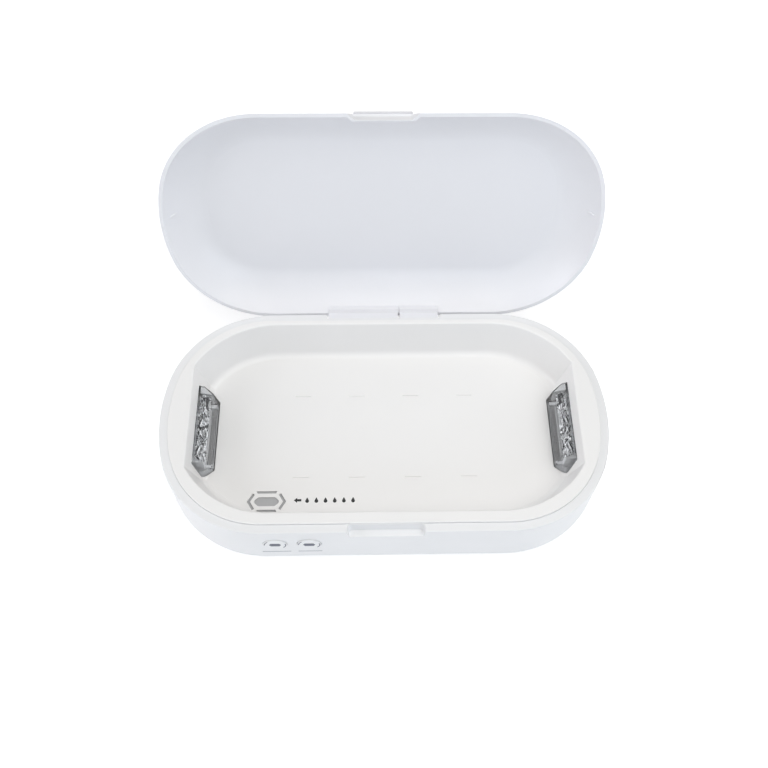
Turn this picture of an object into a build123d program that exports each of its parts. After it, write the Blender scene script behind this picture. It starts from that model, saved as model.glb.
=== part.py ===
from build123d import *
import os
from math import atan2, cos, degrees, pi, radians, sin, sqrt, tan

# A bench-top mask steriliser box, with its lid standing open.
# Origin: in the middle of the underside, with the feet below it. +X right, +Y back, +Z up. Millimetres.

os.makedirs("parts", exist_ok=True)

# Outline of the case seen from above
length = 225.5
width = 122.8
end_radius = 89.8
corner_radius = 52.4

# Heights
case_bottom = 0.0
foot_height = 1.5
headroom = 1.1
tray_depth = 20.5
lid_height = 16.5
lid_gap = 0.3
lid_slope = 26.0
lid_reach = 22.0
lid_sections = 7

# Shell thicknesses
wall = 2.0
tray_wall = 1.6
lid_wall = 1.8
cover_wall = 1.2

# Clearances
slip = 0.2
button_gap = 0.25
swing_gap = 0.35
pin_gap = 0.05
ear_gap = 0.02
flange_gap = 0.1

# Base shell
bottom_round = 4.0
inner_round = 4.5
rim_round = 0.6
ledge = 4.3
shelf = 0.6
shelf_drop = 1.0
ledge_depth = 3.0
floor_lap_inset = 7.0
floor_lap = 2.2
floor_skin = 1.2
floor_inner = 1.5

# Finger notch in the base and scoop in the lid
notch_half = 18.6
notch_drop = 5.3
notch_draft = 10.5
notch_corner = 2.6
notch_skin = 1.8
scoop_half = 17.2
scoop_depth = 3.6
scoop_rise = 5.2
scoop_slant = 1.4
scoop_corner = 1.8
scoop_skin = 1.3
finger_lip_inset = 2.4
finger_lip_corner = 0.5

# Inner tray
flange_rise = 1.2
flange_round = 0.5
tray_end_rim = 14.95
tray_side_rim = 8.6
tray_centre_y = 1.5
tray_arc = 48.0
tray_arc_run = 41.8
tray_draft = 14.6
tray_fillet = 3.5
lip_round = 0.8
boss_radius = 3.6
boss_gap = 11.5
boss_back_y = 34.0
boss_front_y = -18.0

# Ribs that hold a mask off the tray floor
rib_pitch = 28.56
rib_rows = 46.8
rib_centre_y = -0.4
rib_length = 8.4
rib_width = 1.0
rib_height = 0.6

# Aroma inlet in the tray floor
inlet_run = 27.2
inlet_inset = 14.4
inlet_skin = 0.6
inlet_hole_half = 6.85
inlet_hole_flat = 4.2
inlet_hole_y = 2.4
inlet_hole_round = 1.5
inlet_bar_far = 5.6
inlet_bar_near = 4.3
inlet_bar_outer = 5.2
inlet_bar_inner = 4.6
inlet_tip = 9.85
inlet_tip_inner = 8.2
inlet_end_x = 7.1
inlet_end_y = 4.5
inlet_end_inner_x = 6.0
inlet_end_inner_y = 3.75
cup_length = 25.0
cup_width = 15.4
cup_corner = 4.0
cup_wall = 1.2
cup_depth = 5.4
pad_gap = 0.3
pad_drop = 0.3
heater_radius = 6.0
heater_height = 1.5

# Lamp bays at the two ends of the tray
bay_reach = 11.1
bay_half = 19.6
bay_slant = 6.0
bay_splay = 4.9
bay_length = 14.3
bay_drop = 6.3
bay_draft = 9.0
bay_bevel = 3.6
cover_length = 9.1
housing_lead = 3.2
housing_length = 20.0
housing_margin = 5.5
housing_wall = 1.6
housing_rise = 1.3
tube_radius = 2.2
tube_half = 17.2
tube_round = 0.8
tube_run = 7.9
tube_lift = 6.6
holder_thick = 2.5
holder_front_run = 2.8
holder_back_run = 3.4
holder_height = 10.1
holder_bore = 1.1
holder_lip_height = 1.6
holder_lip_gap = 0.6
holder_side_gap = 0.4
foil = 0.4
foil_lift = 1.4
foil_gap = 1.0

# Hinge
hinge_inset = 1.1
hinge_drop = 9.35
open_angle = 106.4
barrel_radius = 3.4
pin_radius = 1.25
arm_left = -29.7
arm_right = 30.3
arm_slit_x = 8.85
arm_slit = 1.1
arm_front = 1.1
arm_back = 1.9
arm_rise = 2.2
arm_top = 3.8
plate_lead = 2.86
plate_lift = 0.6
bar_depth = 5.4
bar_gap = 1.3
pin_chamfer = 0.2
ear_length = 4.0
pocket_skin = 1.4
magnet_radius = 1.0
magnet_length = 3.0
magnet_drop = 4.6
magnet_gap = 0.05

# Front buttons
button_radius = 5.7
button_run = 5.75
button_pitch = 16.4
button_drop = 14.0
button_proud = 0.5
button_edge = 0.4
button_flange = 1.3
button_flange_height = 1.2
button_rest = 0.3
button_travel = 0.6
switch_side = 6.0
switch_height = 3.6
plunger_radius = 1.6
plunger_height = 0.6
plunger_gap = 0.2
board_thick = 1.6
button_board_length = 37.0
button_board_fall = 10.3
button_board_rise = 7.7
post_width = 4.0
post_depth = 5.0
post_grip = 1.5
post_hold = 12.0

# Electronics
board_length = 56.0
board_back_gap = 5.5
board_lead_inset = 10.3
standoff_height = 1.6
standoff_radius = 2.4
board_hole_inset = 3.6
screw_radius = 1.1
screw_head = 2.1
screw_head_height = 1.3
case_screw_radius = 1.4
case_head_radius = 2.8
case_head_height = 1.6
case_head_recess = 2.0
case_screw_end = 1.6
thread_gap = 0.03
socket_shift = 12.0
socket_width = 9.0
socket_height = 3.2
socket_length = 7.4
socket_corner = 1.4
socket_skin = 0.35
socket_tongue = 0.7
socket_opening_gap = 0.25
sensor_width = 12.0
sensor_height = 7.0
sensor_thick = 1.0
sensor_chip = 3.0
lead_radius = 0.7
lead_height = 1.7
plug_length = 6.0
plug_width = 4.2
plug_height = 3.4
lamp_lead_margin = 2.5
lamp_lead_run = 19.5
lamp_lead_step = 18.0
lamp_lead_dip = 3.0
lamp_lead_bend = 40.0
button_plug_inset = 12.0
button_lead_shift = 7.75
button_lead_turn = 18.0
button_lead_bend = 14.0
heater_lead_run = 17.5
heater_lead_bend = 6.0
inverter_length = 24.0
inverter_width = 12.0
inverter_height = 5.4
inverter_shift = 6.0
inverter_round = 0.6
chip_side = 7.0
chip_height = 1.2
capacitor_radius = 2.5
capacitor_height = 5.2
capacitor_pitch = 7.0
capacitor_shift = 12.0
buzzer_radius = 4.5
buzzer_height = 4.6
buzzer_side = 15.4
buzzer_shift = 3.0

# Feet
foot_radius = 5.0
foot_recess = 0.8
foot_round = 0.5
foot_end_inset = 28.75
foot_side_inset = 23.4

# Places worked out from the sizes above
straight_half = (
    length / 2 - end_radius + sqrt((end_radius - corner_radius) ** 2 - (width / 2 - corner_radius) ** 2)
)
end_sweep = degrees(atan2(width / 2 - corner_radius, straight_half - length / 2 + end_radius))
corner_sweep = 90 - end_sweep
floor_lap_top = case_bottom + floor_skin
floor_top = floor_lap_top + floor_inner
board_low = floor_top + standoff_height
board_top = board_low + board_thick
tray_under = board_top + inverter_height + headroom
tray_floor = tray_under + tray_wall
rim_height = tray_floor + tray_depth
shelf_top = rim_height - shelf_drop
notch_depth = ledge + shelf_drop * tan(radians(notch_draft))
flange_top = rim_height + flange_rise
tray_half_length = length / 2 - tray_end_rim
tray_half_depth = width / 2 - tray_side_rim
tray_arc_x = tray_half_length - tray_arc_run
front_y = -width / 2
back_y = width / 2
hinge_y = back_y - hinge_inset
hinge_z = rim_height - hinge_drop
bar_back_y = hinge_y - bar_gap
lid_low = rim_height + lid_gap
lid_top = lid_low + lid_height
pocket_left = arm_left - swing_gap
pocket_right = arm_right + swing_gap
pocket_front = hinge_y - barrel_radius - swing_gap
pocket_low = hinge_z - barrel_radius - swing_gap
ears_left = pocket_left - ear_length
ears_right = pocket_right + ear_length
hinge_axis = Axis((0, hinge_y, hinge_z), (1, 0, 0))
button_z = rim_height - button_drop
button_board_low = button_z - button_board_fall
button_board_high = button_z + button_board_rise
post_top = button_board_low + post_hold
bay_foot = tray_half_length - bay_reach
bay_tip = bay_foot + bay_slant
bay_tip_half = bay_half + bay_splay
bay_back = bay_foot + bay_length
bay_top = rim_height - bay_drop
cover_back = bay_foot + cover_length
tube_x = bay_foot + tube_run
tube_z = tray_under + tube_lift
holder_front = tube_x - holder_front_run
holder_back = tube_x + holder_back_run
holder_inner = tube_half - holder_bore + slip
holder_top = tray_under + holder_height
holder_lip_front = bay_foot + cover_wall + holder_lip_gap
holder_lip_outer = bay_half - cover_wall - holder_side_gap
foil_front = holder_lip_front - slip
foil_bend = holder_front - holder_side_gap
foil_half = holder_inner - slip
housing_front = bay_foot - housing_lead
housing_back = housing_front + housing_length
housing_half = bay_tip_half + housing_margin
housing_side_front = holder_back + holder_side_gap
housing_top = bay_top + housing_rise
inlet_x = inlet_run - bay_foot
inlet_y = tray_centre_y - tray_half_depth + inlet_inset
board_right = housing_front - lamp_lead_run
board_left = board_right - board_length
board_x = board_right - board_length / 2
lamp_lead_y = housing_half - lamp_lead_margin
board_back_y = back_y - board_back_gap
board_front_y = lamp_lead_y - board_lead_inset
board_width = board_back_y - board_front_y
board_y = board_back_y - board_width / 2
socket_x = board_x + socket_shift
socket_z = board_top + socket_height / 2
magnet_y = hinge_y + (arm_back - arm_front) / 2
magnet_z = hinge_z + magnet_drop
sensor_x = arm_slit_x - arm_slit / 2 - slip - magnet_length / 2
board_hole_x = board_length / 2 - board_hole_inset
board_hole_y = board_width / 2 - board_hole_inset
board_holes = [
    (board_x + side * board_hole_x, board_y + end * board_hole_y) for side in (-1, 1) for end in (-1, 1)
]
lead_z = board_top + lead_height
cup_bottom = tray_under - cup_depth
heater_z = cup_bottom - heater_height / 2
button_left_x = button_run - straight_half
button_xs = [button_left_x, button_left_x + button_pitch]
button_back_y = front_y + wall + button_rest + button_flange_height
switch_front_y = button_back_y + button_travel + plunger_gap
button_board_front_y = switch_front_y + plunger_height + switch_height
button_board_back_y = button_board_front_y + board_thick
button_board_y = button_board_front_y + board_thick / 2
button_board_x = button_left_x + button_pitch / 2
post_reach = button_board_length / 2 + post_width / 2 - post_grip
post_xs = [button_board_x - post_reach, button_board_x + post_reach]
button_plug_x = board_left + button_plug_inset
button_lead_x = button_board_x + button_lead_shift
heater_lead_x = inlet_x + heater_lead_run
case_screw_low = case_bottom + case_head_recess - slip
foot_x = length / 2 - foot_end_inset
foot_y = width / 2 - foot_side_inset
foot_places = [(foot_x, foot_y), (-foot_x, foot_y), (-foot_x, -foot_y), (foot_x, -foot_y)]
boss_x = housing_front - boss_gap
boss_places = [
    (boss_x, boss_back_y),
    (-boss_x, boss_back_y),
    (boss_x, boss_front_y),
    (-boss_x, boss_front_y),
]


def outline(inset=0.0):
    """The case outline, drawn in by inset."""
    half = width / 2 - inset
    corner = corner_radius - inset
    end = end_radius - inset
    with BuildSketch() as face:
        with BuildLine():
            back = Line((-straight_half, half), (straight_half, half))
            back_right = JernArc(back @ 1, (1, 0), corner, -corner_sweep)
            right = JernArc(back_right @ 1, back_right % 1, end, -2 * end_sweep)
            JernArc(right @ 1, right % 1, corner, -corner_sweep)
            front = Line((straight_half, -half), (-straight_half, -half))
            front_left = JernArc(front @ 1, (-1, 0), corner, -corner_sweep)
            left = JernArc(front_left @ 1, front_left % 1, end, -2 * end_sweep)
            JernArc(left @ 1, left % 1, corner, -corner_sweep)
        make_face()
    return face.sketch


def slab(inset, low, high):
    """A plate of the case outline between two heights."""
    with BuildPart() as plate:
        with BuildSketch(Plane.XY.offset(low)):
            add(outline(inset))
        extrude(amount=high - low)
    return plate.part


def tray_outline(outset=0.0):
    """The tray opening, with arcs that run into flat ends."""
    half_length = tray_half_length + outset
    half_depth = tray_half_depth + outset
    arc = tray_arc + outset
    reach = half_length - tray_arc_x
    vertex = half_depth - arc + sqrt(arc**2 - reach**2)
    with BuildSketch() as face:
        with BuildLine():
            Line((0, half_depth), (tray_arc_x, half_depth))
            TangentArc((tray_arc_x, half_depth), (half_length, vertex), tangent=(1, 0))
            Line((half_length, vertex), (half_length, 0))
            mirror(about=Plane.XZ)
            mirror(about=Plane.YZ)
        make_face()
    return face.sketch


def tray_block(outset, low):
    """The tapering space of the tray, from the flange top down to a height."""
    with BuildPart() as block:
        with BuildSketch(Plane.XY.offset(flange_top)):
            with Locations((0, tray_centre_y)):
                add(tray_outline(outset))
        extrude(amount=flange_top - low, dir=(0, 0, -1), taper=tray_draft)
    return block.part


def bay_block(inset, low, high):
    """The faceted form of a lamp cover, which leans on the end wall of the tray."""
    with BuildPart() as block:
        with BuildSketch(Plane.XY.offset(low)):
            with BuildLine():
                Polyline(
                    (bay_foot, -bay_half),
                    (bay_foot, bay_half),
                    (bay_tip, bay_tip_half),
                    (bay_back, bay_tip_half),
                    (bay_back, -bay_tip_half),
                    (bay_tip, -bay_tip_half),
                    close=True,
                )
            make_face()
            offset(amount=-inset, kind=Kind.INTERSECTION)
        extrude(amount=high - low, taper=bay_draft)
        with BuildSketch(Plane.XZ):
            with BuildLine():
                Polyline(
                    (bay_foot, high - bay_bevel),
                    (cover_back, high),
                    (bay_foot, high),
                    close=True,
                )
            make_face()
        extrude(amount=bay_tip_half, both=True, mode=Mode.SUBTRACT)
    return block.part


# Base shell: the outer wall, the ledge round its top and the lap for the floor
with BuildPart() as shell_space:
    with BuildSketch(Plane.XY.offset(floor_top)):
        add(outline(wall))
    extrude(amount=rim_height - ledge_depth - floor_top)
    fillet(shell_space.edges().group_by(Axis.Z)[0], inner_round)

with BuildPart() as base_shell:
    with BuildSketch(Plane.XY.offset(case_bottom)):
        add(outline())
    extrude(amount=rim_height - case_bottom)
    fillet(base_shell.edges().group_by(Axis.Z)[0], bottom_round)
    fillet(base_shell.edges().group_by(Axis.Z)[-1], rim_round)
    add(shell_space.part, mode=Mode.SUBTRACT)
    add(slab(floor_lap_inset, case_bottom, floor_lap_top), mode=Mode.SUBTRACT)
    add(slab(floor_lap_inset + floor_lap, case_bottom, floor_top), mode=Mode.SUBTRACT)
    add(slab(ledge + shelf, rim_height - ledge_depth, shelf_top), mode=Mode.SUBTRACT)
    add(slab(ledge, shelf_top, rim_height), mode=Mode.SUBTRACT)
    # backing behind the finger notch
    with BuildSketch(Plane.XY.offset(rim_height - notch_drop - notch_skin)):
        with Locations((0, front_y + wall)):
            Rectangle(
                2 * (notch_half + notch_skin),
                notch_depth + notch_skin - wall,
                align=(Align.CENTER, Align.MIN),
            )
    extrude(amount=notch_drop + notch_skin - ledge_depth)
    # backing behind the hinge pocket
    with BuildSketch(Plane.XY.offset(pocket_low - pocket_skin)):
        with Locations((ears_left, pocket_front - pocket_skin)):
            Rectangle(
                ears_right - ears_left,
                back_y - wall - pocket_front + pocket_skin,
                align=(Align.MIN, Align.MIN),
            )
    extrude(amount=rim_height - ledge_depth - pocket_low + pocket_skin)
    # ears that carry the pin
    with BuildSketch(Plane.YZ.offset(ears_left)):
        with Locations((hinge_y, hinge_z)):
            Circle(barrel_radius)
    extrude(amount=ears_right - ears_left)
    # pocket for the arms of the lid
    with BuildSketch(Plane.YZ.offset(pocket_left)):
        with BuildLine():
            Polyline(
                (pocket_front, pocket_low),
                (hinge_y + 2 * barrel_radius, pocket_low),
                (hinge_y + 2 * barrel_radius, rim_height),
                (bar_back_y, rim_height),
                (bar_back_y, rim_height - bar_depth),
                (pocket_front, rim_height - bar_depth),
                close=True,
            )
        make_face()
    extrude(amount=pocket_right - pocket_left, mode=Mode.SUBTRACT)
    # bore for the pin
    with BuildSketch(Plane.YZ.offset(ears_left)):
        with Locations((hinge_y, hinge_z)):
            Circle(pin_radius + ear_gap)
    extrude(amount=ears_right - ears_left, mode=Mode.SUBTRACT)
    # finger notch in the front ledge
    with BuildSketch(Plane.XY.offset(rim_height)) as notch:
        with Locations((0, front_y + notch_depth)):
            Rectangle(2 * notch_half, notch_depth + 2 * wall, align=(Align.CENTER, Align.MAX))
        fillet(notch.vertices().sort_by(Axis.Y)[-2:], notch_corner)
    extrude(amount=-notch_drop, taper=notch_draft, mode=Mode.SUBTRACT)
    # holes for the two buttons
    with BuildSketch(Plane.XZ.offset(width / 2)):
        with Locations(*[(x, button_z) for x in button_xs]):
            Circle(button_radius + button_gap)
    extrude(amount=-wall, mode=Mode.SUBTRACT)
    # opening for the power socket
    with BuildSketch(Plane.XZ.offset(-back_y)):
        with Locations((socket_x, socket_z)):
            RectangleRounded(
                socket_width + 2 * socket_opening_gap,
                socket_height + 2 * socket_opening_gap,
                socket_corner,
            )
    extrude(amount=2 * wall, mode=Mode.SUBTRACT)
base_shell.part.label = "base_shell"
export_step(base_shell.part, "parts/base_shell.step")


# Bottom cover: a lapped plate with standoffs, posts for the button board and foot recesses
with BuildPart() as bottom_cover:
    add(slab(floor_lap_inset + slip, case_bottom, floor_lap_top))
    add(slab(floor_lap_inset + floor_lap + slip, floor_lap_top, floor_top))
    with BuildSketch(Plane.XY.offset(floor_top)):
        with Locations(*board_holes):
            Circle(standoff_radius)
    extrude(amount=standoff_height)
    with BuildSketch(Plane.XY.offset(floor_top)):
        with Locations(*board_holes):
            Circle(screw_radius + thread_gap)
    extrude(amount=standoff_height, mode=Mode.SUBTRACT)
    # slotted posts that grip the ends of the button board
    with BuildSketch(Plane.XY.offset(floor_top)):
        with Locations(*[(x, button_board_y) for x in post_xs]):
            Rectangle(post_width, post_depth)
    extrude(amount=post_top - floor_top)
    with BuildSketch(Plane.XY.offset(button_board_low)):
        with Locations((button_board_x, button_board_y)):
            Rectangle(button_board_length + 2 * slip, board_thick + 2 * slip)
    extrude(amount=post_top - button_board_low, mode=Mode.SUBTRACT)
    # recesses for the feet and holes for the case screws
    with BuildSketch(Plane.XY.offset(case_bottom)):
        with Locations(*foot_places):
            Circle(foot_radius + slip)
    extrude(amount=foot_recess, mode=Mode.SUBTRACT)
    with BuildSketch(Plane.XY.offset(case_bottom)):
        with Locations(*boss_places):
            Circle(case_screw_radius + slip)
    extrude(amount=floor_top - case_bottom, mode=Mode.SUBTRACT)
    with BuildSketch(Plane.XY.offset(case_bottom)):
        with Locations(*boss_places):
            Circle(case_head_radius + slip)
    extrude(amount=case_head_recess - slip, mode=Mode.SUBTRACT)
bottom_cover.part.label = "bottom_cover"
export_step(bottom_cover.part, "parts/bottom_cover.step")


def inlet_outline():
    """The aroma inlet: a six-sided hole with a bar on each long side and a chevron at each end."""
    with BuildSketch() as face:
        with BuildLine():
            Polyline(
                (-inlet_hole_half, 0),
                (-inlet_hole_flat, inlet_hole_y),
                (inlet_hole_flat, inlet_hole_y),
                (inlet_hole_half, 0),
                (inlet_hole_flat, -inlet_hole_y),
                (-inlet_hole_flat, -inlet_hole_y),
                close=True,
            )
        make_face()
        fillet(face.vertices(), inlet_hole_round)
        for side in (-1, 1):
            with BuildLine():
                Polyline(
                    (-inlet_bar_outer, side * inlet_bar_far),
                    (inlet_bar_outer, side * inlet_bar_far),
                    (inlet_bar_inner, side * inlet_bar_near),
                    (-inlet_bar_inner, side * inlet_bar_near),
                    close=True,
                )
            make_face()
            with BuildLine():
                Polyline(
                    (side * inlet_tip, 0),
                    (side * inlet_end_x, inlet_end_y),
                    (side * inlet_end_inner_x, inlet_end_inner_y),
                    (side * inlet_tip_inner, 0),
                    (side * inlet_end_inner_x, -inlet_end_inner_y),
                    (side * inlet_end_x, -inlet_end_y),
                    close=True,
                )
            make_face()
    return face.sketch


bay_opening = bay_block(-slip, tray_under, bay_top + slip)

# Inner tray: a flange on the ledge, sloping walls, a floor with ribs and an aroma inlet
with BuildPart() as tray_space:
    add(tray_block(0, tray_floor))
    fillet(tray_space.edges().group_by(Axis.Z)[0], tray_fillet)

with BuildPart() as inner_tray:
    add(slab(ledge + flange_gap, shelf_top, flange_top))
    fillet(inner_tray.edges().group_by(Axis.Z)[-1], flange_round)
    add(tray_block(tray_wall, tray_under))
    with BuildSketch(Plane.XY.offset(floor_top)):
        with Locations(*boss_places):
            Circle(boss_radius)
    extrude(amount=tray_under - floor_top)
    add(tray_space.part, mode=Mode.SUBTRACT)
    fillet(inner_tray.faces().sort_by(Axis.Z)[-1].inner_wires()[0].edges(), lip_round)
    # ribs on the floor
    with BuildSketch(Plane.XY.offset(tray_floor)):
        with Locations((0, rib_centre_y)):
            with GridLocations(rib_pitch, rib_rows, 4, 2):
                SlotOverall(rib_length, rib_width)
    extrude(amount=rib_height)
    # aroma inlet, cut through a thinned floor over the cup
    with BuildSketch(Plane.XY.offset(tray_under)):
        with Locations((inlet_x, inlet_y)):
            RectangleRounded(
                cup_length - 2 * cup_wall, cup_width - 2 * cup_wall, cup_corner - cup_wall
            )
    extrude(amount=tray_wall - inlet_skin, mode=Mode.SUBTRACT)
    with BuildSketch(Plane.XY.offset(tray_floor - inlet_skin)):
        with Locations((inlet_x, inlet_y)):
            add(inlet_outline())
    extrude(amount=inlet_skin, mode=Mode.SUBTRACT)
    # openings for the lamp covers
    add(bay_opening, mode=Mode.SUBTRACT)
    add(bay_opening.mirror(Plane.YZ), mode=Mode.SUBTRACT)
    # pilot holes for the case screws
    with BuildSketch(Plane.XY.offset(floor_top)):
        with Locations(*boss_places):
            Circle(case_screw_radius + thread_gap)
    extrude(amount=tray_under - floor_top, mode=Mode.SUBTRACT)
inner_tray.part.label = "inner_tray"
export_step(inner_tray.part, "parts/inner_tray.step")


def lid_form(inset, top):
    """The closed lid as a solid whose sides lean in and round over into a flat top."""
    height = top - lid_low
    lean = height * tan(radians(lid_slope))
    with BuildPart() as form:
        for step in range(lid_sections):
            turn = pi / 2 * step / (lid_sections - 1)
            drawn_in = inset + lean * sin(turn) + (lid_reach - inset - lean) * (1 - cos(turn))
            with BuildSketch(Plane.XY.offset(lid_low + height * sin(turn))):
                add(outline(drawn_in))
        loft()
    return form.part


def scoop(skin):
    """The finger scoop under the front of the lid, with a skin of material round it."""
    with BuildPart() as form:
        with BuildSketch(Plane.XY.offset(lid_low)):
            with BuildLine():
                Polyline(
                    (-scoop_half - wall, front_y - wall),
                    (-scoop_half + scoop_depth, front_y + scoop_depth),
                    (scoop_half - scoop_depth, front_y + scoop_depth),
                    (scoop_half + wall, front_y - wall),
                    close=True,
                )
            make_face()
            offset(amount=skin, kind=Kind.INTERSECTION)
        extrude(amount=scoop_rise + skin)
        fillet(form.edges().filter_by(Axis.Z).sort_by(Axis.Y)[-2:], scoop_corner)
        chamfer(form.faces().sort_by(Axis.Z)[-1].edges().sort_by(Axis.Y)[1:], scoop_slant)
    return form.part


# Lid, modelled closed and then swung open about the hinge
with BuildPart() as lid_space:
    add(lid_form(lid_wall / cos(radians(lid_slope)), lid_top - lid_wall))
    add(scoop(scoop_skin), mode=Mode.SUBTRACT)

with BuildPart() as closed_lid:
    add(lid_form(0, lid_top))
    add(lid_space.part, mode=Mode.SUBTRACT)
    add(scoop(0), mode=Mode.SUBTRACT)
    # room for the flange of the tray
    add(slab(ledge + flange_gap - lid_gap, lid_low, flange_top + lid_gap), mode=Mode.SUBTRACT)
    # finger lip over the scoop
    with BuildSketch(Plane.XY.offset(lid_low + scoop_rise)) as finger_lip:
        with BuildLine():
            Polyline(
                (-scoop_half + finger_lip_inset, front_y + finger_lip_inset),
                (-scoop_half + scoop_depth, front_y + scoop_depth),
                (scoop_half - scoop_depth, front_y + scoop_depth),
                (scoop_half - finger_lip_inset, front_y + finger_lip_inset),
                close=True,
            )
        make_face()
        fillet(finger_lip.vertices().sort_by(Axis.Y)[:2], finger_lip_corner)
    extrude(amount=scoop_skin)
    # two arms that reach down to the pin, and stand a little proud inside the lid
    for arm_low, arm_high in (
        (arm_left, arm_slit_x - arm_slit / 2),
        (arm_slit_x + arm_slit / 2, arm_right),
    ):
        with BuildSketch(Plane.YZ.offset(arm_low)):
            with BuildLine():
                Polyline(
                    (hinge_y - arm_front, hinge_z),
                    (hinge_y - arm_front, rim_height),
                    (hinge_y - plate_lead, lid_low + plate_lift),
                    (hinge_y - plate_lead, lid_low + arm_top),
                    (hinge_y + arm_back, lid_low + arm_rise),
                    (hinge_y + arm_back, hinge_z),
                    close=True,
                )
            make_face()
            with Locations((hinge_y, hinge_z)):
                Circle(barrel_radius)
        extrude(amount=arm_high - arm_low)
    with BuildSketch(Plane.YZ.offset(arm_left)):
        with Locations((hinge_y, hinge_z)):
            Circle(pin_radius + pin_gap)
    extrude(amount=arm_right - arm_left, mode=Mode.SUBTRACT)
    # pocket for the magnet, hidden in the slit between the arms
    with BuildSketch(Plane.YZ.offset(arm_slit_x - arm_slit / 2)):
        with Locations((magnet_y, magnet_z)):
            Circle(magnet_radius + magnet_gap)
    extrude(amount=-(magnet_length + slip), mode=Mode.SUBTRACT)

with BuildPart() as lid:
    add(closed_lid.part.rotate(hinge_axis, -open_angle))
lid.part.label = "lid"
export_step(lid.part, "parts/lid.step")


# Magnet in the lid arm that the lid sensor reads
with BuildPart() as closed_magnet:
    with BuildSketch(Plane.YZ.offset(arm_slit_x - arm_slit / 2 - slip)):
        with Locations((magnet_y, magnet_z)):
            Circle(magnet_radius)
    extrude(amount=-magnet_length)

with BuildPart() as lid_magnet:
    add(closed_magnet.part.rotate(hinge_axis, -open_angle))
lid_magnet.part.label = "lid_magnet"
export_step(lid_magnet.part, "parts/lid_magnet.step")


# Hinge pin, held in the two ears of the base shell
with BuildPart() as hinge_pin:
    with BuildSketch(Plane.YZ.offset(ears_left + slip)):
        with Locations((hinge_y, hinge_z)):
            Circle(pin_radius)
    extrude(amount=ears_right - ears_left - 2 * slip)
    chamfer(hinge_pin.edges(), pin_chamfer)
hinge_pin.part.label = "hinge_pin"
export_step(hinge_pin.part, "parts/hinge_pin.step")


# Clear lamp covers
with BuildPart() as uv_cover_right:
    add(bay_block(0, tray_under, bay_top))
    add(bay_block(cover_wall, tray_under, bay_top - cover_wall), mode=Mode.SUBTRACT)
    split(bisect_by=Plane.YZ.offset(cover_back), keep=Keep.BOTTOM)
uv_cover_right.part.label = "uv_cover_right"
export_step(uv_cover_right.part, "parts/uv_cover_right.step")

with BuildPart() as uv_cover_left:
    add(uv_cover_right.part.mirror(Plane.YZ))
uv_cover_left.part.label = "uv_cover_left"
export_step(uv_cover_left.part, "parts/uv_cover_left.step")


# Lamp housings under the ends of the tray, with a block where the lead plugs in
with BuildPart() as uv_housing_right:
    with BuildSketch(Plane.XY.offset(tray_under - housing_wall)):
        with Locations((housing_front, 0)):
            Rectangle(
                housing_back - housing_front,
                2 * housing_half,
                align=(Align.MIN, Align.CENTER),
            )
    extrude(amount=housing_wall)
    with BuildSketch(Plane.XY.offset(tray_under)):
        with Locations((housing_side_front, 0)):
            Rectangle(
                housing_back - housing_side_front,
                2 * housing_half,
                align=(Align.MIN, Align.CENTER),
            )
        with Locations((housing_side_front, 0)):
            Rectangle(
                housing_back - housing_side_front - housing_wall,
                2 * (housing_half - housing_wall),
                align=(Align.MIN, Align.CENTER),
                mode=Mode.SUBTRACT,
            )
    extrude(amount=housing_top - tray_under)
    with BuildSketch(Plane.XY.offset(lead_z - plug_height / 2)):
        with Locations((housing_front, lamp_lead_y)):
            Rectangle(plug_length, plug_width, align=(Align.MIN, Align.CENTER))
    extrude(amount=tray_under - housing_wall - lead_z + plug_height / 2)
uv_housing_right.part.label = "uv_housing_right"
export_step(uv_housing_right.part, "parts/uv_housing_right.step")

with BuildPart() as uv_housing_left:
    add(uv_housing_right.part.mirror(Plane.YZ))
uv_housing_left.part.label = "uv_housing_left"
export_step(uv_housing_left.part, "parts/uv_housing_left.step")


# End sockets that hold each lamp tube
with BuildPart() as uv_sockets_right:
    for end in (-1, 1):
        with BuildSketch(Plane.XZ.offset(-end * holder_inner)):
            with BuildLine():
                Polyline(
                    (holder_front, tray_under),
                    (holder_front, holder_top),
                    (holder_back, holder_top),
                    (holder_back, tray_under),
                    close=True,
                )
            make_face()
        extrude(amount=-end * holder_thick)
        with BuildSketch(Plane.XZ.offset(-end * holder_inner)):
            with Locations((holder_lip_front, tray_under)):
                Rectangle(
                    holder_front - holder_lip_front,
                    holder_lip_height,
                    align=(Align.MIN, Align.MIN),
                )
        extrude(amount=-end * (holder_lip_outer - holder_inner))
        with BuildSketch(Plane.XZ.offset(-end * holder_inner)):
            with Locations((tube_x, tube_z)):
                Circle(tube_radius + slip)
        extrude(amount=-end * holder_bore, mode=Mode.SUBTRACT)
uv_sockets_right.part.label = "uv_sockets_right"
export_step(uv_sockets_right.part, "parts/uv_sockets_right.step")

with BuildPart() as uv_sockets_left:
    add(uv_sockets_right.part.mirror(Plane.YZ))
uv_sockets_left.part.label = "uv_sockets_left"
export_step(uv_sockets_left.part, "parts/uv_sockets_left.step")


# Lamp tubes
with BuildPart() as uv_tube_right:
    with BuildSketch(Plane.XZ.offset(-tube_half)):
        with Locations((tube_x, tube_z)):
            Circle(tube_radius)
    extrude(amount=2 * tube_half)
    fillet(uv_tube_right.edges().filter_by(GeomType.CIRCLE), tube_round)
uv_tube_right.part.label = "uv_tube_right"
export_step(uv_tube_right.part, "parts/uv_tube_right.step")

with BuildPart() as uv_tube_left:
    add(uv_tube_right.part.mirror(Plane.YZ))
uv_tube_left.part.label = "uv_tube_left"
export_step(uv_tube_left.part, "parts/uv_tube_left.step")


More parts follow.
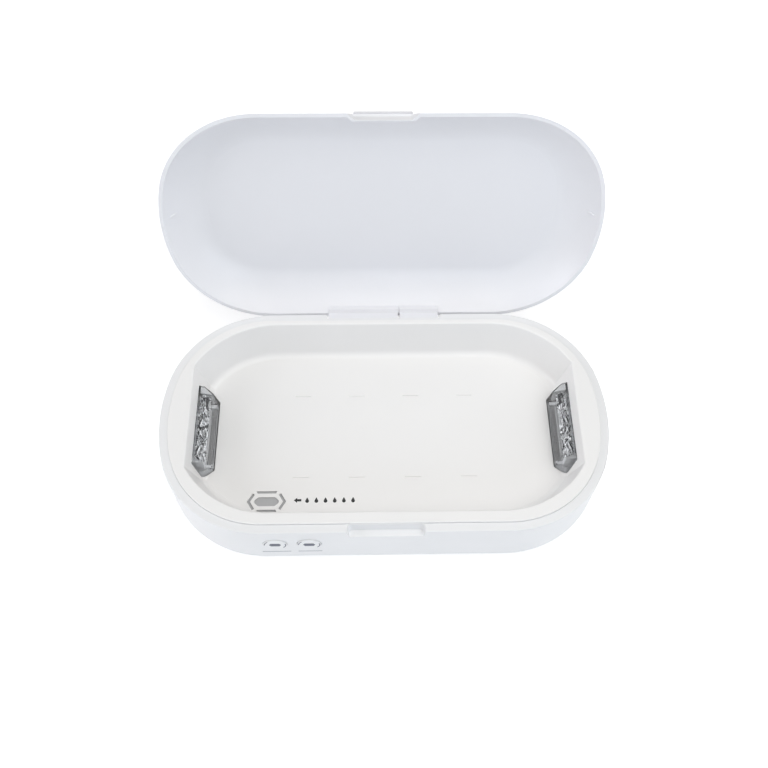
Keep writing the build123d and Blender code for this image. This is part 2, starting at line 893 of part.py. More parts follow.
# Reflectors: a flat strip that folds up behind each tube
with BuildPart() as uv_reflector_right:
    with BuildSketch(Plane.XZ.offset(-foil_half)):
        with BuildLine():
            Polyline(
                (foil_front, tray_under + foil / 2),
                (foil_bend, tray_under + foil / 2),
                (tube_x, tray_under + foil_lift),
                (holder_back, tube_z - tube_radius),
                (housing_back - housing_wall - foil_gap, holder_top),
                (holder_back, bay_top - foil_lift),
            )
        trace(line_width=foil)
    extrude(amount=2 * foil_half)
uv_reflector_right.part.label = "uv_reflector_right"
export_step(uv_reflector_right.part, "parts/uv_reflector_right.step")

with BuildPart() as uv_reflector_left:
    add(uv_reflector_right.part.mirror(Plane.YZ))
uv_reflector_left.part.label = "uv_reflector_left"
export_step(uv_reflector_left.part, "parts/uv_reflector_left.step")


# Aroma cup under the inlet, its felt pad and its heater
with BuildPart() as aroma_cup:
    with BuildSketch(Plane.XY.offset(cup_bottom)):
        with Locations((inlet_x, inlet_y)):
            RectangleRounded(cup_length, cup_width, cup_corner)
    extrude(amount=cup_depth)
    with BuildSketch(Plane.XY.offset(cup_bottom + cup_wall)):
        with Locations((inlet_x, inlet_y)):
            RectangleRounded(
                cup_length - 2 * cup_wall, cup_width - 2 * cup_wall, cup_corner - cup_wall
            )
    extrude(amount=cup_depth - cup_wall, mode=Mode.SUBTRACT)
aroma_cup.part.label = "aroma_cup"
export_step(aroma_cup.part, "parts/aroma_cup.step")

with BuildPart() as aroma_pad:
    with BuildSketch(Plane.XY.offset(cup_bottom + cup_wall)):
        with Locations((inlet_x, inlet_y)):
            RectangleRounded(
                cup_length - 2 * (cup_wall + pad_gap),
                cup_width - 2 * (cup_wall + pad_gap),
                cup_corner - cup_wall - pad_gap,
            )
    extrude(amount=cup_depth - cup_wall + tray_wall - inlet_skin - pad_drop)
aroma_pad.part.label = "aroma_pad"
export_step(aroma_pad.part, "parts/aroma_pad.step")

with BuildPart() as aroma_heater:
    with BuildSketch(Plane.XY.offset(cup_bottom - heater_height)):
        with Locations((inlet_x, inlet_y)):
            Circle(heater_radius)
    extrude(amount=heater_height)
aroma_heater.part.label = "aroma_heater"
export_step(aroma_heater.part, "parts/aroma_heater.step")


def push_button(x):
    """A round cap that passes through the front wall, with a flange behind it."""
    with BuildPart() as button:
        with BuildSketch(Plane.XZ.offset(-front_y + button_proud)):
            with Locations((x, button_z)):
                Circle(button_radius)
        extrude(amount=-(button_proud + wall + button_rest))
        with BuildSketch(Plane.XZ.offset(-button_back_y)):
            with Locations((x, button_z)):
                Circle(button_radius + button_flange)
        extrude(amount=button_flange_height)
        fillet(button.edges().filter_by(GeomType.CIRCLE).sort_by(Axis.Y)[0], button_edge)
    return button.part


with BuildPart() as sterilise_button:
    add(push_button(button_xs[0]))
sterilise_button.part.label = "sterilise_button"
export_step(sterilise_button.part, "parts/sterilise_button.step")

with BuildPart() as aroma_button:
    add(push_button(button_xs[1]))
aroma_button.part.label = "aroma_button"
export_step(aroma_button.part, "parts/aroma_button.step")


# Board behind the buttons and its two push switches
with BuildPart() as button_board:
    with BuildSketch(Plane.XZ.offset(-button_board_front_y)):
        with Locations((button_board_x, button_board_low)):
            Rectangle(
                button_board_length,
                button_board_high - button_board_low,
                align=(Align.CENTER, Align.MIN),
            )
    extrude(amount=-board_thick)
button_board.part.label = "button_board"
export_step(button_board.part, "parts/button_board.step")

with BuildPart() as push_switches:
    with BuildSketch(Plane.XZ.offset(-button_board_front_y)):
        with Locations(*[(x, button_z) for x in button_xs]):
            Rectangle(switch_side, switch_side)
    extrude(amount=switch_height)
    with BuildSketch(Plane.XZ.offset(-button_board_front_y)):
        with Locations(*[(x, button_z) for x in button_xs]):
            Circle(plunger_radius)
    extrude(amount=switch_height + plunger_height)
push_switches.part.label = "push_switches"
export_step(push_switches.part, "parts/push_switches.step")


# Main board with its power socket, lamp inverter and small parts
with BuildPart() as main_board:
    with BuildSketch(Plane.XY.offset(board_low)):
        with Locations((board_x, board_y)):
            Rectangle(board_length, board_width)
        with Locations(*board_holes):
            Circle(screw_radius + slip, mode=Mode.SUBTRACT)
    extrude(amount=board_thick)
main_board.part.label = "main_board"
export_step(main_board.part, "parts/main_board.step")

with BuildPart() as power_socket:
    with BuildSketch(Plane.XZ.offset(-back_y + socket_skin)):
        with Locations((socket_x, socket_z)):
            RectangleRounded(socket_width, socket_height, socket_corner)
            RectangleRounded(
                socket_width - 2 * socket_skin,
                socket_height - 2 * socket_skin,
                socket_corner - socket_skin,
                mode=Mode.SUBTRACT,
            )
    extrude(amount=socket_length)
    with BuildSketch(Plane.XZ.offset(-back_y + socket_skin + socket_length)):
        with Locations((socket_x, socket_z)):
            RectangleRounded(socket_width, socket_height, socket_corner)
    extrude(amount=-socket_skin)
    with BuildSketch(Plane.XZ.offset(-back_y + socket_skin + socket_length)):
        with Locations((socket_x, socket_z)):
            Rectangle(socket_width - 2 * socket_corner, socket_tongue)
    extrude(amount=-(socket_length - socket_corner))
power_socket.part.label = "power_socket"
export_step(power_socket.part, "parts/power_socket.step")

with BuildPart() as lamp_inverter:
    with BuildSketch(Plane.XY.offset(board_top)):
        with Locations((board_x, board_y - inverter_shift)):
            Rectangle(inverter_length, inverter_width)
    extrude(amount=inverter_height)
    fillet(lamp_inverter.edges().filter_by(Axis.Z), inverter_round)
lamp_inverter.part.label = "lamp_inverter"
export_step(lamp_inverter.part, "parts/lamp_inverter.step")

with BuildPart() as board_parts:
    with BuildSketch(Plane.XY.offset(board_top)):
        with Locations((board_x, board_y + inverter_shift)):
            Rectangle(chip_side, chip_side)
    extrude(amount=chip_height)
    with BuildSketch(Plane.XY.offset(board_top)):
        with Locations(*[(board_x - capacitor_pitch * k, board_y + capacitor_shift) for k in (1, 2)]):
            Circle(capacitor_radius)
    extrude(amount=capacitor_height)
    with BuildSketch(Plane.XY.offset(board_top)):
        with Locations((board_x - buzzer_side, board_y + buzzer_shift)):
            Circle(buzzer_radius)
    extrude(amount=buzzer_height)
    # sockets where the leads leave the board
    with BuildSketch(Plane.XY.offset(board_top)):
        with Locations((board_left, lamp_lead_y)):
            Rectangle(plug_length, plug_width, align=(Align.MIN, Align.CENTER))
        with Locations((button_plug_x, board_front_y)):
            Rectangle(plug_width, plug_length, align=(Align.CENTER, Align.MIN))
        with Locations((board_right, lamp_lead_y)):
            Rectangle(plug_length, plug_width, align=(Align.MAX, Align.CENTER))
    extrude(amount=plug_height)
board_parts.part.label = "board_parts"
export_step(board_parts.part, "parts/board_parts.step")


# Sensor board on the back wall, below the hinge
with BuildPart() as lid_sensor:
    with BuildSketch(Plane.XZ.offset(-back_y + wall)):
        with Locations((sensor_x, pocket_low - pocket_skin - sensor_height)):
            Rectangle(sensor_width, sensor_height)
    extrude(amount=sensor_thick)
    with BuildSketch(Plane.XZ.offset(-back_y + wall + sensor_thick)):
        with Locations((sensor_x, pocket_low - pocket_skin - sensor_height)):
            Rectangle(sensor_chip, sensor_chip)
    extrude(amount=sensor_thick)
lid_sensor.part.label = "lid_sensor"
export_step(lid_sensor.part, "parts/lid_sensor.step")


def lead(points, bend):
    """A round wire along straight runs with tangent arcs."""
    with BuildPart() as wire:
        with BuildLine() as path:
            FilletPolyline(*points, radius=bend)
        with BuildSketch(Plane(origin=path.line @ 0, z_dir=path.line % 0)):
            Circle(lead_radius)
        sweep()
    return wire.part


with BuildPart() as lamp_lead_right:
    with BuildSketch(Plane.YZ.offset(board_right)):
        with Locations((lamp_lead_y, lead_z)):
            Circle(lead_radius)
    extrude(amount=housing_front - board_right)
lamp_lead_right.part.label = "lamp_lead_right"
export_step(lamp_lead_right.part, "parts/lamp_lead_right.step")

with BuildPart() as lamp_lead_left:
    add(
        lead(
            [
                (board_left, lamp_lead_y, lead_z),
                (board_left - lamp_lead_step, lamp_lead_y, lead_z),
                ((board_left - housing_front) / 2, lamp_lead_y - lamp_lead_dip, lead_z),
                (-housing_front + lamp_lead_step, lamp_lead_y, lead_z),
                (-housing_front, lamp_lead_y, lead_z),
            ],
            lamp_lead_bend,
        )
    )
lamp_lead_left.part.label = "lamp_lead_left"
export_step(lamp_lead_left.part, "parts/lamp_lead_left.step")

with BuildPart() as button_lead:
    add(
        lead(
            [
                (button_plug_x, board_front_y, lead_z),
                (button_plug_x, board_front_y - button_lead_turn, lead_z),
                (button_lead_x, button_board_back_y + button_lead_turn, lead_z),
                (button_lead_x, button_board_back_y, lead_z),
            ],
            button_lead_bend,
        )
    )
button_lead.part.label = "button_lead"
export_step(button_lead.part, "parts/button_lead.step")

with BuildPart() as heater_lead:
    add(
        lead(
            [
                (inlet_x + heater_radius, inlet_y, heater_z),
                (heater_lead_x, inlet_y, heater_z),
                (heater_lead_x, button_board_back_y, heater_z),
            ],
            heater_lead_bend,
        )
    )
heater_lead.part.label = "heater_lead"
export_step(heater_lead.part, "parts/heater_lead.step")


# Screws: long ones through the floor into the tray, short ones for the main board
with BuildPart() as case_screws:
    with BuildSketch(Plane.XY.offset(case_screw_low - case_head_height)):
        with Locations(*boss_places):
            Circle(case_head_radius)
    extrude(amount=case_head_height)
    with BuildSketch(Plane.XY.offset(case_screw_low)):
        with Locations(*boss_places):
            Circle(case_screw_radius)
    extrude(amount=tray_under - case_screw_end - case_screw_low)
case_screws.part.label = "case_screws"
export_step(case_screws.part, "parts/case_screws.step")

with BuildPart() as board_screws:
    with BuildSketch(Plane.XY.offset(board_top)):
        with Locations(*board_holes):
            Circle(screw_head)
    extrude(amount=screw_head_height)
    with BuildSketch(Plane.XY.offset(floor_top)):
        with Locations(*board_holes):
            Circle(screw_radius)
    extrude(amount=board_top - floor_top)
board_screws.part.label = "board_screws"
export_step(board_screws.part, "parts/board_screws.step")


# Rubber feet
for foot_name, foot_place in zip(
    ("foot_back_right", "foot_back_left", "foot_front_left", "foot_front_right"), foot_places
):
    with BuildPart() as foot:
        with BuildSketch(Plane.XY.offset(case_bottom - foot_height)):
            with Locations(foot_place):
                Circle(foot_radius)
        extrude(amount=foot_height + foot_recess)
        fillet(foot.edges().sort_by(Axis.Z)[0], foot_round)
    foot.part.label = foot_name
    export_step(foot.part, f"parts/{foot_name}.step")
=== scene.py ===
import random
from math import cos, pi, radians, sin

import bmesh
import bpy
from mathutils import Matrix, Vector


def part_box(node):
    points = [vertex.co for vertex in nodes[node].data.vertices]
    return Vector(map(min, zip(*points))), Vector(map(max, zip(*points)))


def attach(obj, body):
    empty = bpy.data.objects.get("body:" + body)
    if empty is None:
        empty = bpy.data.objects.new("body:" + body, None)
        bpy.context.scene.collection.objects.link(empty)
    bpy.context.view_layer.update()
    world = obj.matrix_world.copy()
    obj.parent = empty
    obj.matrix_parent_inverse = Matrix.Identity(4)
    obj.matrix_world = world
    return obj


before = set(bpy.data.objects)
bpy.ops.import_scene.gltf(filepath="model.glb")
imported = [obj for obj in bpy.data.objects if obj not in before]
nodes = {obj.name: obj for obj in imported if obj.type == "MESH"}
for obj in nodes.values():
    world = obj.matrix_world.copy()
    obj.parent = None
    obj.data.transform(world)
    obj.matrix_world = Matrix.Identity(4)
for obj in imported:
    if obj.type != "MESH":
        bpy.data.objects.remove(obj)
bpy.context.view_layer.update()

scene = bpy.context.scene
scene.view_settings.view_transform = "Standard"

# Places in the frame, in metres
mm = 0.001
foot_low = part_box("foot_front_left")[0]
tray_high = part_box("inner_tray")[1]
flange_rise = 1.2 * mm
tray_depth = 20.5 * mm
tray_floor = tray_high.z - flange_rise - tray_depth
left_button_low, left_button_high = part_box("sterilise_button")
right_button_low, right_button_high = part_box("aroma_button")
button_proud = 0.5 * mm
case_front = left_button_low.y + button_proud

# Where the photograph was taken from
camera_place = Vector((-6.861, -215.52, 452.037)) * mm

# How proud printed ink stands
ink_height = 0.03 * mm


# Shader nodes

def new_material(name):
    """An empty node material with its output."""
    material = bpy.data.materials.new(name)
    material.use_nodes = True
    tree = material.node_tree
    tree.nodes.clear()
    output = tree.nodes.new("ShaderNodeOutputMaterial")
    return material, tree, output


def noise(tree, coordinate, scale, detail, roughness=0.5):
    """The strength of a noise texture over the given coordinates."""
    node = tree.nodes.new("ShaderNodeTexNoise")
    node.inputs["Scale"].default_value = scale
    node.inputs["Detail"].default_value = detail
    node.inputs["Roughness"].default_value = roughness
    tree.links.new(coordinate, node.inputs["Vector"])
    return node.outputs["Fac"]


def spread(tree, value, low, high):
    """Maps a noise value, which mostly lies near the middle, onto a range."""
    usual_low = 0.3
    usual_high = 0.7
    node = tree.nodes.new("ShaderNodeMapRange")
    node.inputs["From Min"].default_value = usual_low
    node.inputs["From Max"].default_value = usual_high
    node.inputs["To Min"].default_value = low
    node.inputs["To Max"].default_value = high
    tree.links.new(value, node.inputs["Value"])
    return node.outputs["Result"]


def larger(tree, first, second):
    """The larger of two values."""
    node = tree.nodes.new("ShaderNodeMath")
    node.operation = "MAXIMUM"
    tree.links.new(first, node.inputs[0])
    tree.links.new(second, node.inputs[1])
    return node.outputs["Value"]


def times(tree, value, factor):
    """A value times a number."""
    node = tree.nodes.new("ShaderNodeMath")
    node.operation = "MULTIPLY"
    node.inputs[1].default_value = factor
    tree.links.new(value, node.inputs[0])
    return node.outputs["Value"]


def colour_between(tree, value, first, second):
    """A colour that runs from first to second as value goes from 0 to 1."""
    node = tree.nodes.new("ShaderNodeMix")
    node.data_type = "RGBA"
    node.inputs["A"].default_value = (*first, 1)
    node.inputs["B"].default_value = (*second, 1)
    tree.links.new(value, node.inputs["Factor"])
    return node.outputs["Result"]


def surface(name, colour, shade, roughness, grain_scale, grain_depth, **shader_values):
    """A moulded or cast surface: a slow drift of colour and gloss, and a fine grain as bump."""
    drift_scale = 22.0
    gloss_scale = 90.0
    gloss_spread = 0.08
    material, tree, output = new_material(name)
    shader = tree.nodes.new("ShaderNodeBsdfPrincipled")
    for key, value in shader_values.items():
        shader.inputs[key.replace("_", " ")].default_value = value
    place = tree.nodes.new("ShaderNodeTexCoord").outputs["Object"]
    drift = spread(tree, noise(tree, place, drift_scale, 3.0), 0.0, 1.0)
    darker = tuple(c * shade for c in colour)
    tree.links.new(colour_between(tree, drift, colour, darker), shader.inputs["Base Color"])
    shine = noise(tree, place, gloss_scale, 2.0)
    gloss = spread(tree, shine, roughness * (1 - gloss_spread), roughness * (1 + gloss_spread))
    tree.links.new(gloss, shader.inputs["Roughness"])
    grain = noise(tree, place, grain_scale, 3.0, 0.6)
    bump = tree.nodes.new("ShaderNodeBump")
    bump.inputs["Strength"].default_value = 0.5
    bump.inputs["Distance"].default_value = grain_depth
    tree.links.new(grain, bump.inputs["Height"])
    tree.links.new(bump.outputs["Normal"], shader.inputs["Normal"])
    tree.links.new(shader.outputs["BSDF"], output.inputs["Surface"])
    return material


def clear_surface(name, colour, roughness, index, grain_scale, grain_depth):
    """A clear moulded surface with a faint waviness and a glossy skin."""
    return surface(
        name, colour, 0.985, roughness, grain_scale, grain_depth,
        Transmission_Weight=1.0, IOR=index, Coat_Weight=0.5, Coat_Roughness=0.04,
    )


def painted_crease_light(name, lean):
    """Bright foil full of creases: thin dark folds of painted shade beside sparkling edges of painted glints,
    which lean one way.
    """
    fold_scale = 330
    fold_stretch = 0.3
    blueness = 1.01
    material, tree, output = new_material(name)
    shader = tree.nodes.new("ShaderNodeBsdfPrincipled")
    shader.inputs["Metallic"].default_value = 0.4
    shader.inputs["Roughness"].default_value = 0.3
    place = tree.nodes.new("ShaderNodeTexCoord").outputs["Object"]
    mapping = tree.nodes.new("ShaderNodeMapping")
    mapping.inputs["Rotation"].default_value = (0, 0, lean)
    mapping.inputs["Scale"].default_value = (1, fold_stretch, 1)
    tree.links.new(place, mapping.inputs["Vector"])
    folds = noise(tree, mapping.outputs["Vector"], fold_scale, 2.0, 0.6)
    ramp = tree.nodes.new("ShaderNodeValToRGB")
    # The near-black stops paint shade in the creases, and the near-white ones paint glints on their edges.
    painted_light_stops = (
        (0.0, 0.34), (0.37, 0.42), (0.395, 0.01), (0.415, 0.01), (0.44, 0.45), (0.465, 0.95), (0.50, 0.46),
        (0.56, 0.40), (0.58, 0.03), (0.60, 0.03), (0.62, 0.60), (0.645, 1.0), (0.70, 0.42),
    )
    for count, (stop, tone) in enumerate(painted_light_stops):
        if count < 2:
            element = ramp.color_ramp.elements[count]
            element.position = stop
        else:
            element = ramp.color_ramp.elements.new(stop)
        element.color = (tone, tone, tone * blueness, 1)
    tree.links.new(folds, ramp.inputs["Fac"])
    tree.links.new(ramp.outputs["Color"], shader.inputs["Base Color"])
    bump = tree.nodes.new("ShaderNodeBump")
    bump.inputs["Strength"].default_value = 0.6
    bump.inputs["Distance"].default_value = 0.3 * mm
    tree.links.new(folds, bump.inputs["Height"])
    tree.links.new(bump.outputs["Normal"], shader.inputs["Normal"])
    tree.links.new(shader.outputs["BSDF"], output.inputs["Surface"])
    return material


def brushed(name, colour, roughness, scale, depth, stretch):
    """Metal with fine lines along one direction."""
    line_shade = 0.82
    gloss_spread = 0.3
    material, tree, output = new_material(name)
    shader = tree.nodes.new("ShaderNodeBsdfPrincipled")
    shader.inputs["Metallic"].default_value = 1.0
    place = tree.nodes.new("ShaderNodeTexCoord").outputs["Object"]
    mapping = tree.nodes.new("ShaderNodeMapping")
    mapping.inputs["Scale"].default_value = stretch
    tree.links.new(place, mapping.inputs["Vector"])
    lines = noise(tree, mapping.outputs["Vector"], scale, 4.0, 0.7)
    tone = spread(tree, lines, 0.0, 1.0)
    darker = tuple(c * line_shade for c in colour)
    tree.links.new(colour_between(tree, tone, colour, darker), shader.inputs["Base Color"])
    gloss = spread(tree, lines, roughness * (1 - gloss_spread), roughness * (1 + gloss_spread))
    tree.links.new(gloss, shader.inputs["Roughness"])
    bump = tree.nodes.new("ShaderNodeBump")
    bump.inputs["Strength"].default_value = 0.4
    bump.inputs["Distance"].default_value = depth
    tree.links.new(lines, bump.inputs["Height"])
    tree.links.new(bump.outputs["Normal"], shader.inputs["Normal"])
    tree.links.new(shader.outputs["BSDF"], output.inputs["Surface"])
    return material


# Materials

case_white = surface("case_white", (0.80, 0.80, 0.81), 0.985, 0.34, 1400, 0.03 * mm)
lid_white = surface("lid_white", (0.81, 0.81, 0.84), 0.985, 0.36, 1400, 0.03 * mm)
tray_white = surface("tray_white", (0.835, 0.825, 0.82), 0.985, 0.38, 1200, 0.03 * mm)
cover_white = surface("cover_white", (0.78, 0.78, 0.80), 0.97, 0.55, 900, 0.06 * mm)
button_white = surface("button_white", (0.80, 0.80, 0.81), 0.985, 0.32, 1400, 0.03 * mm)
housing_white = surface("housing_white", (0.62, 0.62, 0.63), 0.95, 0.5, 900, 0.05 * mm)
socket_white = surface("socket_white", (0.74, 0.74, 0.75), 0.95, 0.45, 900, 0.05 * mm)
cup_plastic = surface("cup_plastic", (0.50, 0.50, 0.50), 0.95, 0.5, 900, 0.05 * mm)
felt_grey = surface("felt_grey", (0.46, 0.46, 0.47), 0.85, 0.95, 2600, 0.2 * mm)
ceramic = surface("ceramic", (0.70, 0.67, 0.60), 0.93, 0.6, 1500, 0.05 * mm)
circuit_board = surface("circuit_board", (0.02, 0.13, 0.05), 0.8, 0.35, 700, 0.04 * mm)
switch_black = surface("switch_black", (0.02, 0.02, 0.02), 0.8, 0.4, 900, 0.04 * mm)
# Black of the components, also used for painted shade in the foil's folds and for the dark strip of painted
# shadow under the rear facet.
component_black = surface("component_black", (0.025, 0.025, 0.028), 0.8, 0.45, 900, 0.04 * mm)
inverter_case = surface("inverter_case", (0.05, 0.045, 0.04), 0.8, 0.5, 900, 0.06 * mm)
wire_red = surface("wire_red", (0.55, 0.02, 0.015), 0.9, 0.45, 900, 0.04 * mm)
foot_rubber = surface("foot_rubber", (0.09, 0.09, 0.092), 0.85, 0.8, 1600, 0.08 * mm)
ink_black = surface("ink_black", (0.012, 0.012, 0.013), 0.9, 0.5, 2500, 0.01 * mm)
# Grey ink of the glyphs, also used for the arcs of painted shade at the buttons' edges.
ink_and_painted_shade_grey = surface("ink_and_painted_shade_grey", (0.09, 0.10, 0.14), 0.9, 0.5, 2500, 0.01 * mm)
label_grey = surface("label_grey", (0.30, 0.31, 0.36), 0.9, 0.5, 2500, 0.01 * mm)
clear_plastic = clear_surface("clear_plastic", (0.92, 0.93, 0.94), 0.01, 1.05, 260, 0.02 * mm)
tube_glass = clear_surface("tube_glass", (0.95, 0.96, 0.97), 0.02, 1.46, 200, 0.02 * mm)
foil_metal = brushed("foil_metal", (0.48, 0.48, 0.49), 0.35, 120, 0.02 * mm, (1, 12, 1))
steel = brushed("steel", (0.55, 0.55, 0.56), 0.3, 300, 0.02 * mm, (1, 1, 8))
nickel = brushed("nickel", (0.62, 0.61, 0.59), 0.2, 300, 0.01 * mm, (1, 1, 4))
# A bright copy of the foil, for painted glints beside its folds.
painted_glint_metal = brushed("painted_glint_metal", (0.97, 0.97, 0.98), 0.3, 300, 0.01 * mm, (1, 4, 1))
crease_lean = radians(24)
# Foil for each side whose colour paints shade in its creases and glints on their edges.
painted_light_foil = {
    "left": painted_crease_light("painted_light_foil_left", crease_lean),
    "right": painted_crease_light("painted_light_foil_right", -crease_lean),
}

node_materials = {
    "base_shell": case_white,
    "bottom_cover": cover_white,
    "inner_tray": tray_white,
    "lid": lid_white,
    "lid_magnet": nickel,
    "hinge_pin": steel,
    "sterilise_button": button_white,
    "aroma_button": button_white,
    "aroma_cup": cup_plastic,
    "aroma_pad": felt_grey,
    "aroma_heater": ceramic,
    "button_board": circuit_board,
    "push_switches": switch_black,
    "main_board": circuit_board,
    "power_socket": steel,
    "lamp_inverter": inverter_case,
    "board_parts": component_black,
    "lid_sensor": circuit_board,
    "button_lead": wire_red,
    "heater_lead": wire_red,
    "case_screws": steel,
    "board_screws": steel,
}
for side in ("left", "right"):
    node_materials["uv_cover_" + side] = clear_plastic
    node_materials["uv_housing_" + side] = housing_white
    node_materials["uv_sockets_" + side] = socket_white
    node_materials["uv_tube_" + side] = tube_glass
    node_materials["uv_reflector_" + side] = foil_metal
    node_materials["lamp_lead_" + side] = wire_red
    node_materials["foot_front_" + side] = foot_rubber
    node_materials["foot_back_" + side] = foot_rubber

for name, material in node_materials.items():
    mesh = nodes[name].data
    mesh.materials.clear()
    mesh.materials.append(material)


# Pieces

def add_piece(name, form, material, body):
    """Links a finished form as a piece that rides on a body."""
    bmesh.ops.recalc_face_normals(form, faces=form.faces)
    mesh = bpy.data.meshes.new(name)
    form.to_mesh(mesh)
    form.free()
    mesh.materials.append(material)
    piece = bpy.data.objects.new(name, mesh)
    scene.collection.objects.link(piece)
    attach(piece, body)
    return piece


def close_prism(form, bottom, top):
    """The two ends and the sides of a prism between two rings of corners."""
    form.faces.new(bottom[::-1])
    form.faces.new(top)
    for here in range(len(bottom)):
        following = (here + 1) % len(bottom)
        form.faces.new((bottom[here], bottom[following], top[following], top[here]))


def prism(form, corners):
    """An upright prism. A corner gives its place in plan, its lower height and its upper height."""
    bottom = [form.verts.new((x, y, low)) for x, y, low, high in corners]
    top = [form.verts.new((x, y, high)) for x, y, low, high in corners]
    close_prism(form, bottom, top)


# Printed marks, and flat marks of painted shade

def ink_and_painted_shade_marks(name, outlines, place, material, body):
    """Flat shapes of ink, and of painted shade for the arcs at the buttons' edges. place turns a point of an
    outline and a height into a point in the frame.
    """
    form = bmesh.new()
    for outline in outlines:
        bottom = [form.verts.new(place(u, v, 0)) for u, v in outline]
        top = [form.verts.new(place(u, v, ink_height)) for u, v in outline]
        close_prism(form, bottom, top)
    add_piece(name, form, material, body)


def on_tray(u, v, height):
    """A point on the tray floor."""
    return (u, v, tray_floor + height)


def on_case_front(u, v, height):
    """A point on the front of the case."""
    return (u, case_front - height, v)


def on_button(u, v, height):
    """A point on the face of a button."""
    return (u, left_button_low.y - height, v)


def arrow(x, y, reach, tail, half, tail_half):
    """An arrow that points left, with its tip at x."""
    return [
        (x, y), (x + reach, y - half), (x + reach, y - tail_half), (x + tail, y - tail_half),
        (x + tail, y + tail_half), (x + reach, y + tail_half), (x + reach, y + half),
    ]


def drop(x, y, radius, height):
    """A drop with its point up: a circle whose upper part is pulled up and in."""
    steps = 20
    pull_in = 0.55
    turns = [pi * (0.5 + 2 * (step + 0.5) / steps) for step in range(steps)]
    points = []
    for turn in turns:
        lift = max(0.0, sin(turn)) ** 3
        points.append((x + radius * cos(turn) * (1 - pull_in * lift), y + radius * sin(turn) + lift * height))
    return points


def arc_band(x, z, radius, thick, start, end, steps=16):
    """A curved stroke round a centre, between two angles in degrees."""
    turns = [radians(start + (end - start) * step / steps) for step in range(steps + 1)]
    outer = [(x + radius * cos(t), z + radius * sin(t)) for t in turns]
    inner = [(x + (radius - thick) * cos(t), z + (radius - thick) * sin(t)) for t in turns]
    return outer + inner[::-1]


def bar(x, z, half_length, half_height):
    """A plain bar."""
    return [
        (x - half_length, z - half_height), (x + half_length, z - half_height),
        (x + half_length, z + half_height), (x - half_length, z + half_height),
    ]


def lozenge(x, z, half_length, half_flat, half_height):
    """A flattened six-sided mark."""
    return [
        (x - half_length, z), (x - half_flat, z - half_height), (x + half_flat, z - half_height),
        (x + half_length, z), (x + half_flat, z + half_height), (x - half_flat, z + half_height),
    ]


# The marks beside the aroma inlet
arrow_tip_x = -45.9 * mm
arrow_y = -36.4 * mm
arrow_head = 1.7 * mm
arrow_length = 3.8 * mm
arrow_half = 1.35 * mm
arrow_tail_half = 0.6 * mm
arrow_shape = arrow(arrow_tip_x, arrow_y, arrow_head, arrow_length, arrow_half, arrow_tail_half)
ink_and_painted_shade_marks("arrow_mark", [arrow_shape], on_tray, ink_black, "case")

drop_count = 6
first_drop_x = -39.2 * mm
drop_pitch = 4.6 * mm
drop_y = arrow_y - 0.5 * mm
drop_radius = 0.95 * mm
drop_point = 1.0 * mm
drops = []
for count in range(drop_count):
    drops.append(drop(first_drop_x + count * drop_pitch, drop_y, drop_radius, drop_point))
ink_and_painted_shade_marks("drop_marks", drops, on_tray, ink_black, "case")

# The marks on and under the buttons, with the turns in degrees of the arcs of painted shade at each button's
# edge
gap_shade_radius = 5.3 * mm
gap_shade_line = 0.45 * mm
gap_shade_arcs = ((132, 182), (-43, 19))
glyph_half_length = 2.9 * mm
glyph_half_flat = 2.1 * mm
glyph_half_height = 1.7 * mm
label_drop = 10.3 * mm
label_half_height = 0.3 * mm
for name, low, high, label_half in (
    ("sterilise", left_button_low, left_button_high, 7.0 * mm),
    ("aroma", right_button_low, right_button_high, 5.8 * mm),
):
    body = name + "_button"
    x = (low.x + high.x) / 2
    z = (low.z + high.z) / 2
    # Arcs of painted shade at the upper left and lower right of the button's edge, where the gap round it is
    # seen.
    arcs = [arc_band(x, z, gap_shade_radius, gap_shade_line, start, end) for start, end in gap_shade_arcs]
    ink_and_painted_shade_marks(name + "_painted_gap_shade", arcs, on_button, ink_and_painted_shade_grey, body)
    glyph = lozenge(x, z, glyph_half_length, glyph_half_flat, glyph_half_height)
    ink_and_painted_shade_marks(name + "_glyph", [glyph], on_button, ink_and_painted_shade_grey, body)
    label = bar(x, z - label_drop, label_half, label_half_height)
    ink_and_painted_shade_marks(name + "_label_mark", [label], on_case_front, label_grey, "case")


# Lamp windows

# Places are distances from the foot of a cover's sloping face, on the tray's side, or from its ends
cover_bevel = 3.6 * mm

# Foil, with how far its corners stray along the window and up or down
foil_foot_inset = 3.3 * mm
foil_back_inset = 0.4 * mm
foil_end_inset = 6.2 * mm
foil_drop = 3.1 * mm
foil_columns = 8
foil_rows = 44
foil_lean = 2.2 * mm
foil_stray = 0.25 * mm
foil_bounce = 0.9 * mm
foil_seed = 11

# Deep folds, drawn as blades of painted shade and painted glints, in millimetres: distance from the foot and
# place along the window, at both ends
deep_folds = (
    (7.0, 4.0, 8.0, -0.9), (8.6, -2.1, 6.1, -6.6), (7.2, -1.7, 8.0, -5.7), (6.8, -10.5, 8.4, -16.8),
    (7.7, -12.9, 8.2, -16.6),
)
fold_half = 0.35 * mm
fold_step = 0.75 * mm
fold_drop = 1.9 * mm
fold_depth = 0.5 * mm

# Pale block
block_lift = 1.0 * mm
block_drop = 1.9 * mm
block_foot_inset = 2.6 * mm
block_back_inset = 0.5 * mm
block_slant = 3.6 * mm
block_end_inset = 2.2 * mm
block_slant_inset = 2.6 * mm

# Dark strip of painted shadow
shadow_strip_lift = 0.3 * mm
shadow_strip_height = 2.0 * mm
shadow_strip_corners = ((1.4, 6.0), (6.6, 1.9), (6.6, 4.0), (1.5, 6.7))

# Contact, whose corners are distances from its own edge and places along the window, in millimetres
contact_inset = 4.4 * mm
contact_gap = 0.2 * mm
contact_height = 1.6 * mm
contact_corners = ((0, 11.4), (1.1, 11.6), (1.2, 14.6), (3.3, 15.6), (3.0, 16.8), (0.1, 17.2))


